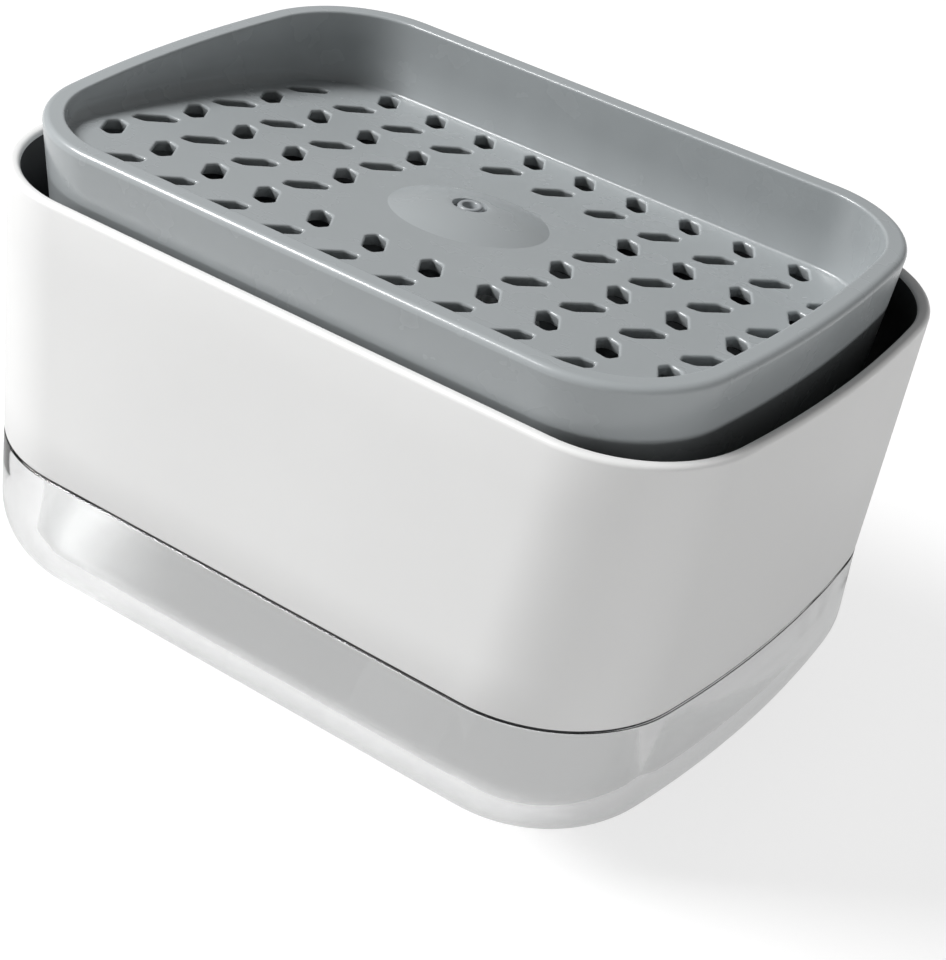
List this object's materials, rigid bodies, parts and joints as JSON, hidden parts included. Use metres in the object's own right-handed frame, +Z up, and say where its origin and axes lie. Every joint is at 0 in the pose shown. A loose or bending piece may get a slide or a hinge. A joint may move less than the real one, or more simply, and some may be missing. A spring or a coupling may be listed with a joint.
{
  "type": "soap pump caddy",
  "caption": "Countertop soap pump caddy: a grey slotted sponge tray on a spring pump, in a white sleeve over a clear soap tank; pressing the tray brings soap up at its centre.",
  "frame": {"origin": "middle of the tank's flat base, on the surface it stands on", "axes": "+X along the long side, +Y to the back where the tray is deepest, +Z up along the pump"},
  "size_m": [0.151, 0.107, 0.0875],
  "materials": {
    "tray_grey": "smooth and glossy",
    "nozzle_grey": "smooth",
    "housing_white": "satin",
    "tank_clear": "clear and glossy",
    "seam_black": "matt",
    "lid_grey": "satin",
    "seal_grey": "matt",
    "pump_white": "semi-gloss",
    "tube_clear": "translucent",
    "valve_steel": "polished",
    "spring_steel": "drawn wire"
  },
  "bodies": {
    "base": {"tank": "tank_clear"},
    "upper": {"housing": "housing_white", "seam_gasket": "seam_black", "tank_lid": "lid_grey", "lid_gasket": "seal_grey", "pump_collar": "pump_white", "neck_gasket": "seal_grey", "pump_cylinder": "pump_white", "stem_guide": "pump_white", "ball_cage": "pump_white", "dip_tube": "tube_clear", "return_spring": "spring_steel"},
    "plunger": {"plunger_stem": "pump_white", "piston": "pump_white", "piston_seal": "seal_grey", "plunger_head": "pump_white", "outlet_valve_seat": "seal_grey"},
    "tray": {"sponge_tray": "tray_grey", "outlet_nozzle": "nozzle_grey"},
    "inlet_ball": {"inlet_ball": "valve_steel"},
    "outlet_ball": {"outlet_ball": "valve_steel"}
  },
  "joints": [
    {"name": "refill_lift", "type": "slide", "parent": "base", "child": "upper", "axis": [0, 0, 1], "range_m": [0, 0.05]},
    {"name": "press", "type": "slide", "parent": "upper", "child": "plunger", "axis": [0, 0, 1], "range_m": [-0.008, 0], "stiffness_N_per_m": 600, "springref_m": 0.008, "deforming": ["return_spring"]},
    {"name": "tray_lift", "type": "slide", "parent": "plunger", "child": "tray", "axis": [0, 0, 1], "range_m": [0, 0.025]},
    {"name": "inlet_check", "type": "slide", "parent": "upper", "child": "inlet_ball", "axis": [0, 0, 1], "range_m": [0, 0.0015]},
    {"name": "outlet_check", "type": "slide", "parent": "plunger", "child": "outlet_ball", "axis": [0, 0, 1], "range_m": [0, 0.0008]}
  ]
}
